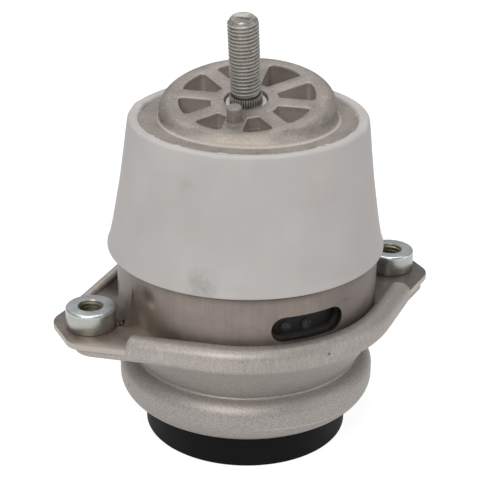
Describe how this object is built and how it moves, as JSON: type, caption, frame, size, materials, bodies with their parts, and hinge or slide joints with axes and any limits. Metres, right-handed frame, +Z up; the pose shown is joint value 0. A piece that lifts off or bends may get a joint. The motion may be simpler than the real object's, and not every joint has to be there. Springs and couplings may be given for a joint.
{
  "type": "engine mount",
  "caption": "Hydraulic engine mount with a leaning threaded stud on a pocketed aluminium hub, a grey rubber boot, an eared steel housing with threaded bosses and a black bottom cap.",
  "frame": {"origin": "centre of the bottom of the cap, under the middle of the bounding box", "axes": "+Z up along the axis of the housing, towards the stud; X through the two ears; -Y towards the sleeve's front window"},
  "size_m": [0.1618, 0.1224, 0.1749],
  "materials": {
    "stud_steel": "zinc flake, dull, on a rolled thread",
    "bush_steel": "turned, bright",
    "peg_metal": "as cast, bright top",
    "cast_aluminium": "die cast, fine grain",
    "core_aluminium": "cast, coated for bonding",
    "boot_silicone": "moulded, satin",
    "sleeve_steel": "drawn, warm grey",
    "boss_zinc": "bright zinc",
    "cup_steel": "fine blasted, satin",
    "cap_plastic": "moulded, matt",
    "spring_rubber": "moulded",
    "ring_steel": "phosphated",
    "buffer_rubber": "moulded",
    "track_aluminium": "die cast",
    "disc_rubber": "moulded",
    "rivet_steel": "zinc",
    "seal_rubber": "moulded",
    "bellows_rubber": "moulded, thin",
    "rim_steel": "zinc"
  },
  "bodies": {
    "root": {"mounting_stud": "stud_steel", "stud_bush": "bush_steel", "locating_pin": "peg_metal", "hub_casting": "cast_aluminium", "spring_core": "core_aluminium", "heat_boot": "boot_silicone", "upper_housing": "sleeve_steel", "left_boss": "boss_zinc", "right_boss": "boss_zinc", "lower_housing": "cup_steel", "bottom_cap": "cap_plastic", "main_spring": "spring_rubber", "spring_ring": "ring_steel", "jounce_buffer": "buffer_rubber", "track_upper_plate": "track_aluminium", "track_lower_plate": "track_aluminium", "decoupler_disc": "disc_rubber", "track_rivets": "rivet_steel", "track_seal": "seal_rubber", "rolling_diaphragm": "bellows_rubber", "diaphragm_ring": "rim_steel"}
  },
  "joints": []
}
